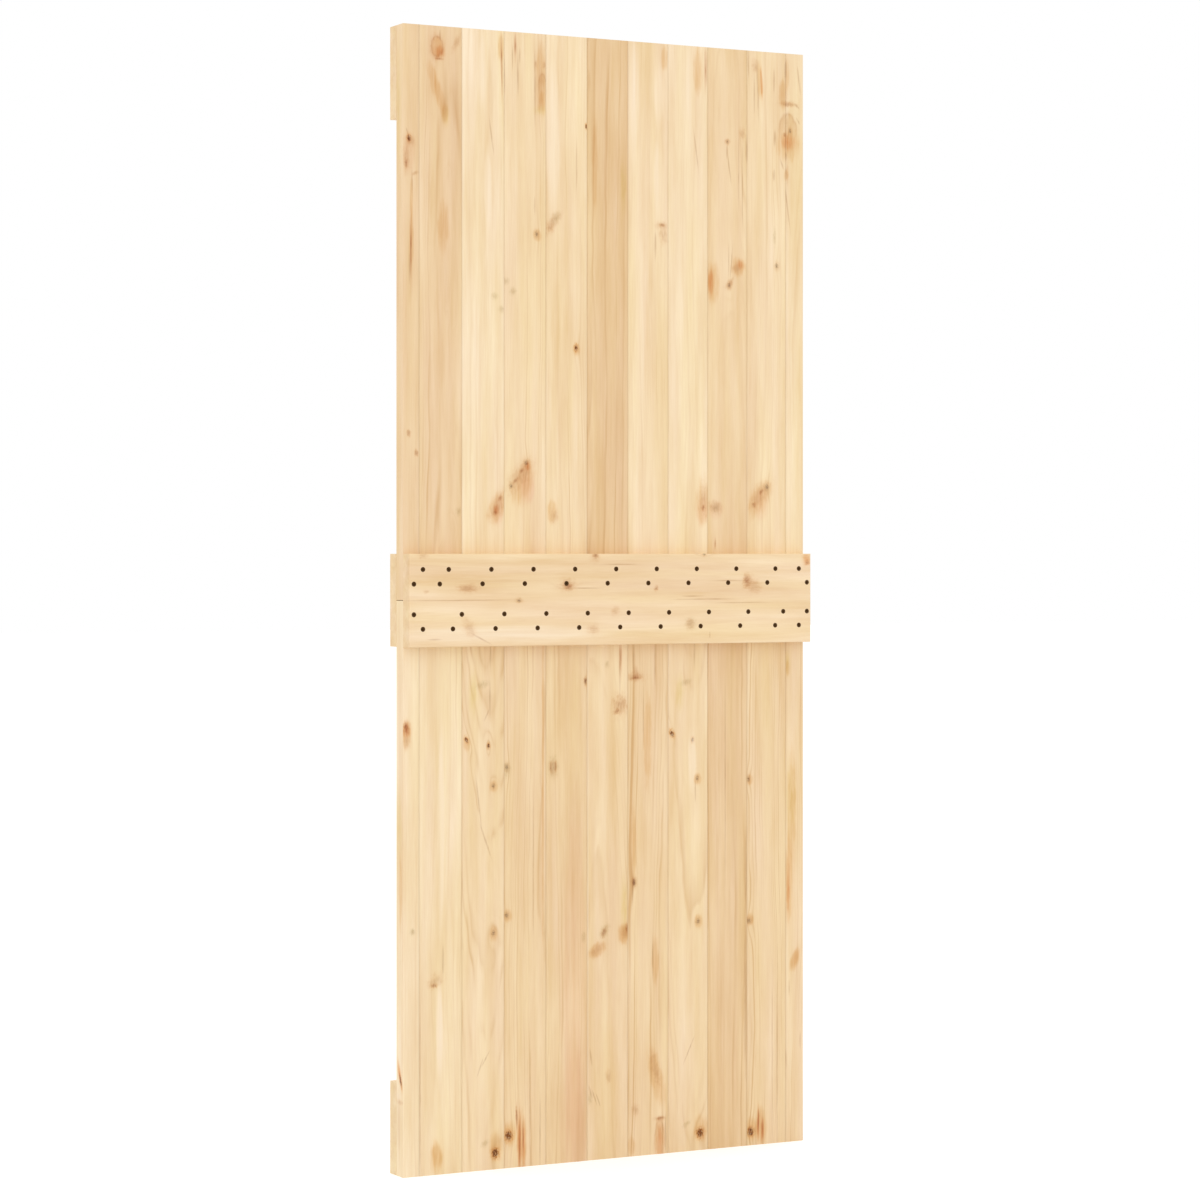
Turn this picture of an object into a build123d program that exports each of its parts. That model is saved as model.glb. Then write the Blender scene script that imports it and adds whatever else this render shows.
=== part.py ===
from build123d import *
import os

# A boarded pine leaf for a sliding door, made in two panels for carrying.
# Each panel is a row of upright boards, tongued and grooved together. The front
# has three rails across it. The back has one, over the joint of the panels, and
# screws through it clamp rail, boards and front middle rail into one leaf.
#
# Sizes are in millimetres. X runs along the width, Y from the back to the front,
# Z up. The origin is the middle of the front top rail's outer face, where hanger
# straps bolt on. Boards are counted from -X.

# The leaf
leaf_width = 850.0
leaf_height = 2100.0
edge_round = 1.5

# The boards, all of one thickness. The first and last are ripped narrower.
full_boards = 9
first_board_face = 32.0
last_board_face = 39.5
board_thickness = 30.0
board_arris = 0.8

# The tongue and groove at mid thickness. The shoulders of two boards touch.
tongue_length = 8.0
tongue_thickness = 8.0
tongue_arris = 1.0
groove_end_clearance = 0.5
groove_side_clearance = 0.2

# The joint of the two panels, as a height above the foot of the leaf
panel_joint_height = 1050.0
panel_joint_gap = 1.0

# The rails
rail_height = 170.0
rail_thickness = 28.0
rail_round = 2.0

# The screws
screw_length = 80.0
screw_diameter = 5.0
screw_head_diameter = 9.5
screw_sides = 10
screw_head_rim = 0.4
screw_point_length = 6.0
screw_head_set = 0.2
shank_clearance = 0.25
head_clearance = 0.05
thread_clearance = 0.05
pilot_end_clearance = 1.0

# Where the screws go. Each board of each panel has two, set on the slant: one in
# the row near the panel joint and one in the row further from it.
upper_inner_row = 30.0
lower_inner_row = 25.5
row_step = 26.5
pair_spread = 18.0
upper_pair_shift = -5.5
lower_pair_shift = 21.0
tenth_board_pair_shift = 12.0
end_board_pair_shift = 2.0

# What follows from those sizes
board_count = full_boards + 2
board_face = (leaf_width - first_board_face - last_board_face) / full_boards
board_faces = [first_board_face] + [board_face] * full_boards + [last_board_face]

leaf_left = -leaf_width / 2
leaf_top = rail_height / 2
leaf_foot = leaf_top - leaf_height
joint_z = leaf_foot + panel_joint_height

front_face = 0.0
boards_front = front_face - rail_thickness
boards_back = boards_front - board_thickness
boards_middle = (boards_front + boards_back) / 2
back_face = boards_back - rail_thickness

screw_radius = screw_diameter / 2
screw_head_radius = screw_head_diameter / 2
screw_top = back_face + screw_head_set
screw_head_rim_end = screw_top + screw_head_rim
screw_cone_end = screw_head_rim_end + screw_head_radius - screw_radius
screw_tip = screw_top + screw_length


def board_edges(number):
    """The X of a board's left and right shoulders, counting from 1."""
    left = leaf_left + sum(board_faces[: number - 1])
    return left, left + board_faces[number - 1]


def screw_pair(number, panel):
    """The X and Z of the two screws of one board of the upper or lower panel."""
    left, right = board_edges(number)
    if number in (1, board_count):
        shift = end_board_pair_shift
    elif panel == "upper":
        shift = upper_pair_shift
    elif number == board_count - 1:
        shift = tenth_board_pair_shift
    else:
        shift = lower_pair_shift
    middle = (left + right) / 2 + shift

    # The upper screw of a pair stands to the right, but in the two corner boards
    # it is the one nearer to the leaf's middle.
    lean = pair_spread / 2
    if panel == "upper" and number == board_count:
        lean = -lean
    if panel == "lower" and number == 1:
        lean = -lean

    if panel == "upper":
        low = joint_z + upper_inner_row
    else:
        low = joint_z - lower_inner_row - row_step
    return [(middle - lean, low), (middle + lean, low + row_step)]


def panel_screw_places(panel):
    """Every screw place of one panel, board by board."""
    places = []
    for number in range(1, board_count + 1):
        places += screw_pair(number, panel)
    return places


def all_screw_places():
    """The screw places of both panels."""
    return panel_screw_places("upper") + panel_screw_places("lower")


def across(y):
    """The plane across the leaf at a depth Y, looking to the front."""
    return Plane(origin=(0, y, 0), x_dir=(1, 0, 0), z_dir=(0, 1, 0))


def round_face(radius, y):
    """The section of a screw or its hole, with a few flat sides to keep many of them light."""
    return (across(y) * RegularPolygon(radius, screw_sides)).face()


def bar(radius, start, end):
    """A straight bar on the Y axis, from start to end."""
    return extrude(round_face(radius, start), amount=end - start)


def cone(first_radius, last_radius, start, end):
    """A length of cone on the Y axis, from start to end."""
    return loft([round_face(first_radius, start), round_face(last_radius, end)], ruled=True)


def at_places(solid, places):
    """Copies of a solid on the Y axis, moved to each place."""
    return [Pos(x, 0, z) * solid for x, z in places]


def board_section(number):
    """The plan of one board: shoulders, eased edges, tongue on +X and groove on -X."""
    left, right = board_edges(number)
    with BuildSketch() as plan:
        with Locations(((left + right) / 2, boards_middle)):
            Rectangle(right - left, board_thickness)
        left_corners = plan.vertices().group_by(Axis.X)[0]
        right_corners = plan.vertices().group_by(Axis.X)[-1]
        if number == 1:
            fillet(left_corners, edge_round)
        else:
            chamfer(left_corners, board_arris)
        if number == board_count:
            fillet(right_corners, edge_round)
        else:
            chamfer(right_corners, board_arris)

        if number > 1:
            depth = tongue_length + groove_end_clearance
            with Locations((left + depth / 2, boards_middle)):
                Rectangle(depth, tongue_thickness + 2 * groove_side_clearance, mode=Mode.SUBTRACT)
        if number < board_count:
            with BuildSketch(mode=Mode.PRIVATE) as tongue:
                with Locations((right, boards_middle)):
                    Rectangle(2 * tongue_length, tongue_thickness)
                chamfer(tongue.vertices().group_by(Axis.X)[-1], tongue_arris)
            add(tongue.sketch)
    return plan.sketch


def board(number, panel):
    """One upright board with the two screw holes at its end under the rails."""
    if panel == "upper":
        bottom = joint_z + panel_joint_gap / 2
        top = leaf_top
    else:
        bottom = leaf_foot
        top = joint_z - panel_joint_gap / 2
    plain = extrude(Pos(0, 0, bottom) * board_section(number), amount=top - bottom)
    hole = bar(screw_radius + shank_clearance, boards_back, boards_front)
    return plain - at_places(hole, screw_pair(number, panel))


def rail(middle_z, inner_y, outer_y):
    """One rail across the leaf, with the edges of its outer face rounded."""
    with BuildPart() as piece:
        with Locations((0, (inner_y + outer_y) / 2, middle_z)):
            Box(leaf_width, rail_thickness, rail_height)
        outer = piece.faces().filter_by(lambda face: abs(face.center().Y - outer_y) < 1e-6)
        fillet(outer.edges(), rail_round)
    return piece.part


def front_middle_rail():
    """The front rail over the panel joint, with a blind hole for each screw's thread."""
    hole = bar(screw_radius + thread_clearance, boards_front, screw_tip + pilot_end_clearance)
    return rail(joint_z, boards_front, front_face) - at_places(hole, all_screw_places())


def back_middle_rail():
    """The back rail, drilled and countersunk so that each screw head lies just below its face."""
    mouth = bar(screw_head_radius + head_clearance, back_face, screw_head_rim_end)
    seat = cone(
        screw_head_radius + head_clearance,
        screw_radius + head_clearance,
        screw_head_rim_end,
        screw_cone_end,
    )
    hole = bar(screw_radius + shank_clearance, back_face, boards_back)
    return rail(joint_z, boards_back, back_face) - at_places(hole + mouth + seat, all_screw_places())


def screw():
    """One countersunk screw along Y: head rim, cone, plain shank and point."""
    rim = bar(screw_head_radius, screw_top, screw_head_rim_end)
    head = cone(screw_head_radius, screw_radius, screw_head_rim_end, screw_cone_end)
    shank = bar(screw_radius, screw_cone_end, screw_tip - screw_point_length)
    point = loft(
        [round_face(screw_radius, screw_tip - screw_point_length), Vertex(0, screw_tip, 0)],
        ruled=True,
    )
    return rim + head + shank + point


def panel_screws(panel):
    """The screws of one panel, one solid each."""
    return Compound(children=at_places(screw(), panel_screw_places(panel)))


def build_pieces():
    """Every piece of the leaf by name."""
    pieces = {}
    for panel in ("upper", "lower"):
        for number in range(1, board_count + 1):
            pieces[f"{panel}_board_{number}"] = board(number, panel)
        pieces[f"{panel}_panel_screws"] = panel_screws(panel)
    pieces["front_top_rail"] = rail(leaf_top - rail_height / 2, boards_front, front_face)
    pieces["front_middle_rail"] = front_middle_rail()
    pieces["front_bottom_rail"] = rail(leaf_foot + rail_height / 2, boards_front, front_face)
    pieces["back_middle_rail"] = back_middle_rail()
    return pieces


os.makedirs("parts", exist_ok=True)
for name, piece in build_pieces().items():
    export_step(piece, f"parts/{name}.step")
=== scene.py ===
# %% [markdown]
# # A boarded pine leaf for a sliding door
# The real leaf is upright pine boards, tongued and grooved, with three rails on its front
# and one screwed rail on its back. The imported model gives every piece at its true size.
# This script gives the wood its grain and knots, makes the screws in full, and lights and
# frames the leaf as a studio picture of its back.

# %% Load the fixed frame
import math
import random

import bmesh
import bpy
from mathutils import Matrix, Vector


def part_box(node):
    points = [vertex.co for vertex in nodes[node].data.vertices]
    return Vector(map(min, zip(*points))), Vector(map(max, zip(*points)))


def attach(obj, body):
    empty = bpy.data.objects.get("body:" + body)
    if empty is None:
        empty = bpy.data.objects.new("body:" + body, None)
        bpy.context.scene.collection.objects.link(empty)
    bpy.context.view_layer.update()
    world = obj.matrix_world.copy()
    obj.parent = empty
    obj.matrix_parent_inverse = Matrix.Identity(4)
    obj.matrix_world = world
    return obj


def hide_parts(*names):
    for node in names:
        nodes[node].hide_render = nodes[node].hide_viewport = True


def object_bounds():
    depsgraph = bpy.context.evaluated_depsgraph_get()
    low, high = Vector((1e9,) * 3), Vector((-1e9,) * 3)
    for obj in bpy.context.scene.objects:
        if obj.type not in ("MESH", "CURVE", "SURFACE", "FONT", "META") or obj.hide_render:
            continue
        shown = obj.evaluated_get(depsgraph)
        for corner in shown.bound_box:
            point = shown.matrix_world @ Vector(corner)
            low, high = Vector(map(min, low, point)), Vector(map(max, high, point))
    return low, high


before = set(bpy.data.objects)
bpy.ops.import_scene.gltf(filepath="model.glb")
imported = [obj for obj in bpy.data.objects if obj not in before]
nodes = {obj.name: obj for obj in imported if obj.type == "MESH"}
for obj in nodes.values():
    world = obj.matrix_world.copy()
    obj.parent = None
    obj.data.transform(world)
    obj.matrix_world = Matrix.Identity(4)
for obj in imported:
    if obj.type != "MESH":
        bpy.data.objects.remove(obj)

cad_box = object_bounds()
print("pieces in the frame:", len(nodes))
print("whole leaf, metres:", [round(h - l, 4) for l, h in zip(*cad_box)])

# %% [markdown]
# ## Measures taken from the frame
# Everything below is placed from the leaf's own edges. A board is found by its panel and
# its number, counted from the left as the picture shows it. Wood is measured in
# millimetres from there, since grain and knots are that small.

# %% Leaf measures
MM = 0.001
leaf_low, leaf_high = (Vector(corner) for corner in cad_box)
leaf_left = leaf_low.x
leaf_foot = leaf_low.z
leaf_back = leaf_low.y
boards_low, boards_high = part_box("upper_board_6")
boards_back = boards_low.y
boards_middle = (boards_low.y + boards_high.y) / 2
BOARDS = range(1, 12)
PANELS = ("upper", "lower")


def shoulders(panel, number):
    """The left and right edges of a board's face, without the tongue."""
    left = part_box(f"{panel}_board_{number}")[0].x
    if number == BOARDS[-1]:
        return left, leaf_high.x
    return left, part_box(f"{panel}_board_{number + 1}")[0].x


board_faces = [round((b - a) / MM, 1) for a, b in (shoulders("upper", n) for n in BOARDS)]
print("board faces, mm:", board_faces)

# %% [markdown]
# ## Camera
# The picture's uprights are parallel, so the camera looked level and its lens was shifted
# to take in the foot. Fitting one camera to the corners, seams and rail ends gave its
# place. A shift is used instead of a tilt, because a tilt would make the uprights lean.

# %% Camera
CAMERA_AWAY = 5.649
CAMERA_LEFT = 2.584
CAMERA_HEIGHT = 1.138
CAMERA_TURN = math.radians(27.886)
FOCAL_PX = 3410.95
HORIZON_PX = 552.15
PICTURE_PX = 1200
SENSOR = 36.0


def add_camera():
    """The picture's camera, level and turned to the leaf."""
    data = bpy.data.cameras.new("camera")
    data.sensor_width = SENSOR
    data.lens = FOCAL_PX / PICTURE_PX * SENSOR
    data.shift_y = (HORIZON_PX - PICTURE_PX / 2) / PICTURE_PX
    camera = bpy.data.objects.new("camera", data)
    bpy.context.scene.collection.objects.link(camera)
    camera.location = (leaf_left - CAMERA_LEFT, boards_back - CAMERA_AWAY, leaf_foot + CAMERA_HEIGHT)
    camera.rotation_euler = (math.pi / 2, 0, -CAMERA_TURN)
    bpy.context.scene.camera = camera
    return camera


camera = add_camera()
print("lens mm:", round(camera.data.lens, 2), "shift:", round(camera.data.shift_y, 4))

# %% [markdown]
# ## Node helpers
# A material is a tree of nodes joined by links. Written out, each node would take several
# lines, so small helpers keep the trees readable: they add a node, a sum on numbers or on
# vectors, noise, a blend of two colours or an empty group. Where an input is given a socket
# it is linked, and where it is given a number it is set.

# %% Node helpers
def to_linear(*levels):
    """A colour as a painter reads it, 0 to 255, as the linear colour that light uses."""
    linear = []
    for level in levels:
        share = level / 255
        linear.append(share / 12.92 if share <= 0.04045 else ((share + 0.055) / 1.055) ** 2.4)
    return (*linear, 1.0)


def feed(tree, socket, value):
    """Link a socket to an input, or set the input to a value."""
    if isinstance(value, bpy.types.NodeSocket):
        tree.links.new(value, socket)
    else:
        socket.default_value = value


def node(tree, kind, inputs=None, **settings):
    """Add one node with its settings, and feed its inputs by name or number."""
    made = tree.nodes.new(kind)
    for key, value in settings.items():
        setattr(made, key, value)
    for key, value in (inputs or {}).items():
        feed(tree, made.inputs[key], value)
    return made


def calc(tree, operation, *values, clamp=False):
    """A sum on numbers."""
    inputs = dict(enumerate(values))
    return node(tree, "ShaderNodeMath", inputs, operation=operation, use_clamp=clamp).outputs[0]


def vector_calc(tree, operation, *values):
    """A sum on vectors."""
    made = node(tree, "ShaderNodeVectorMath", dict(enumerate(values)), operation=operation)
    return made.outputs["Value" if operation in ("LENGTH", "DOT_PRODUCT") else "Vector"]


def noise(tree, place, detail=2.0, roughness=0.5):
    """Soft noise with features one unit across, as the node itself."""
    inputs = {"Vector": place, "Scale": 1.0, "Detail": detail, "Roughness": roughness}
    return node(tree, "ShaderNodeTexNoise", inputs)


def blend_colour(tree, share, first, second):
    """Mix two colours by a share."""
    made = node(tree, "ShaderNodeMix", data_type="RGBA")
    feed(tree, made.inputs["Factor"], share)
    feed(tree, made.inputs[6], first)
    feed(tree, made.inputs[7], second)
    return made.outputs[2]


def new_group(name, inputs, outputs):
    """An empty node group with its sockets, and its two end nodes."""
    tree = bpy.data.node_groups.new(name, "ShaderNodeTree")
    for label, kind in inputs.items():
        tree.interface.new_socket(label, in_out="INPUT", socket_type=f"NodeSocket{kind}")
    for label, kind in outputs.items():
        tree.interface.new_socket(label, in_out="OUTPUT", socket_type=f"NodeSocket{kind}")
    return tree, tree.nodes.new("NodeGroupInput").outputs, tree.nodes.new("NodeGroupOutput").inputs


print("mid grey as linear light:", round(to_linear(128)[0], 3))

# %% [markdown]
# ## Growth rings
# Pine shows its growth rings: a wide pale band of spring wood and a thin darker line of
# summer wood each year. In the trunk they are long cones about the pith. So the pattern
# here is a solid one: it measures how far each point of the board lies from a pith line,
# and the saw cut then shows straight lines, tall arches or end rings by itself. A flat
# stripe pattern would look printed, and would not turn the corner onto the board's edge.
# The group works in millimetres with X across the board, Y through it and Z along it.

# %% Noise along the grain
def grain_noise(tree, place, across, along, detail, roughness):
    """Noise with features so many millimetres across and along the grain, as the node itself."""
    spread = vector_calc(tree, "MULTIPLY", place, (1 / across, 1 / across, 1 / along))
    return noise(tree, spread, detail, roughness)


def wander(tree, place, across, along, detail):
    """A vector that wanders about zero."""
    colour = grain_noise(tree, place, across, along, detail, roughness=0.6).outputs["Color"]
    return vector_calc(tree, "SUBTRACT", colour, (0.5, 0.5, 0.5))


def sway(tree, place, across, along, reach, detail=0.0):
    """A slow sideways bend of the rings, with its reach in millimetres."""
    bend = wander(tree, place, across, along, detail)
    return vector_calc(tree, "MULTIPLY", bend, (reach, reach, 0.0))


def streaks(tree, place, across, along, detail, roughness=0.5):
    """A value drawn out along the grain, centred on zero."""
    drawn = grain_noise(tree, place, across, along, detail, roughness)
    return calc(tree, "SUBTRACT", drawn.outputs[0], 0.5)


# %% Rings
# The years run up to a few rings early or late, over some 20 mm of growth. Within a year
# the shade goes from 0 for spring wood to 1 for summer wood, and turns at the year's end.
UNEVEN_YEARS = 4.5
UNEVEN_PER_MM = 0.05
YEAR_TURN = 0.25
YEAR_SHADES = ((0.16, 0.0), (0.5, 0.1), (0.84, 1.0))
FAINTEST_YEAR = 0.1


def ring_reach(tree, given, seeded):
    """How far out in the trunk a point lies, in millimetres, with the bends of real growth."""
    bent = vector_calc(tree, "ADD", given["Place"], sway(tree, seeded, across=160, along=620, reach=26))
    bent = vector_calc(tree, "ADD", bent, sway(tree, seeded, across=34, along=140, reach=5.0, detail=1.0))
    bent = vector_calc(tree, "ADD", bent, sway(tree, seeded, across=9, along=48, reach=1.6))
    from_pith = vector_calc(tree, "SUBTRACT", bent, given["Pith"])
    flat = vector_calc(tree, "MULTIPLY", from_pith, (1.0, 1.0, 0.0))
    along = node(tree, "ShaderNodeSeparateXYZ", {0: given["Place"]}).outputs["Z"]
    coned = calc(tree, "MULTIPLY_ADD", along, given["Taper"], vector_calc(tree, "LENGTH", flat))
    return calc(tree, "ADD", coned, given["Lift"])


def ring_lines(tree, given, reach):
    """The dark summer lines, from 0 to 1, each year with a strength of its own."""
    seed_x = node(tree, "ShaderNodeSeparateXYZ", {0: given["Seed"]}).outputs["X"]
    slow = calc(tree, "MULTIPLY", reach, UNEVEN_PER_MM)
    slow_place = node(tree, "ShaderNodeCombineXYZ", {0: slow, 1: seed_x}).outputs[0]
    uneven = calc(tree, "SUBTRACT", noise(tree, slow_place, detail=2.0).outputs[0], 0.5)
    years = calc(tree, "MULTIPLY_ADD", uneven, UNEVEN_YEARS, calc(tree, "DIVIDE", reach, given["Ring"]))
    ramp = node(tree, "ShaderNodeValToRGB", {"Fac": calc(tree, "FRACT", years)})
    stops = ramp.color_ramp.elements
    for end in stops:
        end.color = (YEAR_TURN, YEAR_TURN, YEAR_TURN, 1)
    for place, level in YEAR_SHADES:
        stops.new(place).color = (level, level, level, 1)
    year = calc(tree, "ADD", calc(tree, "FLOOR", years), seed_x)
    chance = node(tree, "ShaderNodeTexWhiteNoise", {"W": year}, noise_dimensions="1D").outputs["Value"]
    rare = calc(tree, "POWER", chance, 2.0)
    vigour = calc(tree, "MULTIPLY_ADD", rare, 1 - FAINTEST_YEAR, FAINTEST_YEAR)
    return calc(tree, "MULTIPLY", ramp.outputs["Color"], vigour)


# %% The grain group
# Each depth says how strongly a layer of noise shows. Summer wood is a little glossier.
APART = (400, 0, 0)
BROAD_DEPTH = 2.3
CLOUD_DEPTH = 0.7
FIBRE_DEPTH = 0.4
TINT_DEPTH = 2.4
FADE_DEPTH = 3.0
PINK_TINT = (1.0, 0.990, 1.035, 1.0)
YELLOW_TINT = (1.0, 1.003, 0.94, 1.0)
PLANED_ROUGHNESS = 0.58
FIBRE_ROUGHNESS = 0.25
LATE_ROUGHNESS = -0.08


def make_grain_group():
    """Rings, streaks and fibres of sawn pine."""
    tree, given, result = new_group(
        "pine_grain",
        {"Place": "Vector", "Seed": "Vector", "Pith": "Vector", "Ring": "Float", "Taper": "Float",
         "Lift": "Float", "Near": "Float", "Dark": "Color", "Pale": "Color", "Late": "Color",
         "Lines": "Float"},
        {"Color": "Color", "Roughness": "Float", "Height": "Float"},
    )
    seeded = vector_calc(tree, "ADD", given["Place"], given["Seed"])
    line = ring_lines(tree, given, ring_reach(tree, given, seeded))

    broad = streaks(tree, seeded, across=32, along=520, detail=5.0, roughness=0.68)
    cloud = streaks(tree, seeded, across=45, along=200, detail=1.0)
    fibre = streaks(tree, seeded, across=0.6, along=30, detail=2.0)
    tone = calc(tree, "MULTIPLY_ADD", broad, BROAD_DEPTH, 0.5)
    tone = calc(tree, "MULTIPLY_ADD", cloud, CLOUD_DEPTH, tone)
    tone = calc(tree, "MULTIPLY_ADD", fibre, FIBRE_DEPTH, tone, clamp=True)
    colour = blend_colour(tree, tone, given["Dark"], given["Pale"])

    apart = vector_calc(tree, "ADD", seeded, APART)
    blush = streaks(tree, apart, across=30, along=380, detail=3.0)
    blush = calc(tree, "MULTIPLY_ADD", blush, TINT_DEPTH, 0.5, clamp=True)
    tint = blend_colour(tree, blush, YELLOW_TINT, PINK_TINT)
    colour = vector_calc(tree, "MULTIPLY", colour, tint)

    fade = streaks(tree, apart, across=14, along=300, detail=1.0)
    fade = calc(tree, "MULTIPLY_ADD", fade, FADE_DEPTH, 0.5, clamp=True)
    strength = calc(tree, "MULTIPLY_ADD", given["Lines"], fade, given["Near"])
    strength = calc(tree, "MULTIPLY", line, strength, clamp=True)
    colour = blend_colour(tree, strength, colour, given["Late"])

    feed(tree, result["Color"], colour)
    rough = calc(tree, "MULTIPLY_ADD", fibre, FIBRE_ROUGHNESS, PLANED_ROUGHNESS)
    rough = calc(tree, "MULTIPLY_ADD", line, LATE_ROUGHNESS, rough, clamp=True)
    feed(tree, result["Roughness"], rough)
    feed(tree, result["Height"], fibre)
    return tree


grain_group = make_grain_group()
print("grain nodes:", len(grain_group.nodes))

# %% [markdown]
# ## Knots and resin
# A knot is the base of a branch that the trunk grew round. It runs right through the
# board, so it is the same solid pattern on both faces, and the rings swell round it. A
# resin streak or a stain is drawn the same way, only long and faint. Each kind of mark is
# one group: how far a point lies from the mark's middle, as a share of its size, picks a
# stain from a ramp. The stain multiplies the wood's own colour, as resin does, so the grain
# stays to be seen in it. The edge is broken up with noise, since a true ellipse looks stuck on.

# %% How each kind of mark looks
# Ragged is how far the edge strays, as a share of the size, and how many millimetres its
# bends measure across and along. Brush is the streaks inside, across and along, and their
# depth. Each row of a ramp is a share of the size, the colour seen on honey wood, and how
# strongly it shows.
HONEY = (241, 212, 168)
MARKS_BY_KIND = {
    "knot": dict(ragged=(1.3, 2.2, 3), brush=(2.0, 3.5, 1.6), ramp=[
        (0.0, (160, 100, 40), 0.85),
        (0.25, (132, 78, 22), 0.95),
        (0.5, (104, 56, 10), 1.0),
        (0.75, (168, 108, 44), 0.8),
        (1.15, (220, 158, 84), 0.5),
        (1.7, (234, 188, 124), 0.2),
        (2.5, HONEY, 0.0),
    ]),
    "pin_knot": dict(ragged=(1.2, 2.4, 3.4), brush=(1.5, 2.5, 1.4), ramp=[
        (0.0, (108, 68, 24), 0.6),
        (0.4, (126, 84, 36), 0.54),
        (0.8, (178, 126, 68), 0.36),
        (1.3, (214, 160, 98), 0.22),
        (2.0, (230, 186, 130), 0.09),
        (2.5, HONEY, 0.0),
    ]),
    "brown": dict(ragged=(1.4, 4, 6), brush=(2.5, 6, 0.9), ramp=[
        (0.0, (166, 104, 52), 0.62),
        (0.6, (190, 128, 70), 0.5),
        (1.1, (218, 166, 106), 0.26),
        (1.7, HONEY, 0.0),
    ]),
    "loop": dict(ragged=(1.0, 14, 26), brush=(3, 14, 0.9), ramp=[
        (0.0, (236, 196, 146), 0.4),
        (0.65, (230, 184, 128), 0.6),
        (0.88, (204, 146, 92), 0.6),
        (1.05, (222, 174, 124), 0.36),
        (1.5, (236, 200, 154), 0.14),
        (2.2, HONEY, 0.0),
    ]),
    "arch": dict(ragged=(0.4, 18, 32), brush=(3, 14, 0.8), fades_down=True, ramp=[
        (0.0, (224, 184, 132), 0.55),
        (0.75, (222, 180, 126), 0.6),
        (0.94, (208, 160, 108), 0.55),
        (1.06, (226, 186, 138), 0.25),
        (1.22, HONEY, 0.0),
    ]),
    "soft": dict(ragged=(1.5, 6, 9), brush=(2.5, 12, 0.8), ramp=[
        (0.0, (192, 134, 80), 0.4),
        (0.6, (204, 150, 94), 0.34),
        (1.0, (218, 168, 114), 0.22),
        (1.5, (230, 190, 142), 0.08),
        (2.1, HONEY, 0.0),
    ]),
    "amber": dict(ragged=(0.9, 8, 32), brush=(4, 50, 0.8), ramp=[
        (0.0, (222, 171, 106), 0.5),
        (0.75, (224, 176, 112), 0.46),
        (1.0, (228, 182, 122), 0.3),
        (1.3, (238, 202, 152), 0.1),
        (2.0, HONEY, 0.0),
    ]),
    "flame": dict(ragged=(1.0, 5, 24), brush=(2.5, 40, 0.9), ramp=[
        (0.0, (222, 152, 90), 0.72),
        (0.7, (224, 162, 100), 0.58),
        (1.1, (232, 184, 132), 0.28),
        (1.7, HONEY, 0.0),
    ]),
    "streak": dict(ragged=(0.9, 2, 24), brush=(1.6, 36, 1.2), ramp=[
        (0.0, (176, 110, 66), 0.8),
        (0.6, (200, 140, 92), 0.58),
        (1.1, (222, 174, 126), 0.28),
        (1.7, HONEY, 0.0),
    ]),
    "line": dict(ragged=(0.8, 2.5, 30), brush=(1.2, 24, 1.2), ramp=[
        (0.0, (174, 128, 84), 0.4),
        (0.9, (196, 152, 108), 0.26),
        (1.6, HONEY, 0.0),
    ]),
    "grey": dict(ragged=(1.5, 5, 7), brush=(2.5, 8, 0.9), ramp=[
        (0.0, (188, 156, 104), 0.44),
        (0.7, (204, 173, 121), 0.34),
        (1.2, (218, 190, 140), 0.18),
        (1.8, HONEY, 0.0),
    ]),
    "yellow": dict(ragged=(1.2, 7, 30), brush=(4, 24, 0.8), ramp=[
        (0.0, (226, 194, 122), 0.58),
        (0.7, (230, 200, 132), 0.45),
        (1.4, (236, 206, 148), 0.22),
        (2.0, HONEY, 0.0),
    ]),
    "shade": dict(ragged=(0.6, 18, 150), brush=(9, 220, 1.0), ramp=[
        (0.0, (230, 196, 150), 0.45),
        (0.8, (232, 199, 153), 0.38),
        (1.3, HONEY, 0.0),
    ]),
    "blush": dict(ragged=(0.6, 18, 150), brush=(9, 220, 1.0), ramp=[
        (0.0, (236, 195, 152), 0.5),
        (0.8, (237, 198, 155), 0.42),
        (1.3, HONEY, 0.0),
    ]),
    # Pale bands of bare wood. The same kind also draws one painted highlight, a pale line along a seam's
    # arris.
    "pale_band_and_highlight": dict(ragged=(0.6, 12, 100), brush=(6, 260, 1.2), covers=True, ramp=[
        (0.0, (250, 230, 202), 0.55),
        (0.8, (250, 229, 198), 0.45),
        (1.3, (249, 227, 192), 0.0),
    ]),
}
print("kinds of mark:", list(MARKS_BY_KIND))

# %% Mark groups
MARK_REACH = 2.6
FADE_DOWN_FROM = 0.6


def stain(levels):
    """What a colour seen on honey wood takes from the light, as a share of each colour."""
    return [min(1.0, seen / plain) for seen, plain in zip(to_linear(*levels)[:3], to_linear(*HONEY))]


def mark_share(tree, given):
    """Where a point lies from a mark's middle, as a share of the mark's size."""
    offset = vector_calc(tree, "SUBTRACT", given["Place"], given["Middle"])
    turn = {"Vector": offset, "Angle": given["Tilt"]}
    turned = node(tree, "ShaderNodeVectorRotate", turn, rotation_type="Y_AXIS").outputs[0]
    return vector_calc(tree, "DIVIDE", turned, given["Size"])


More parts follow.
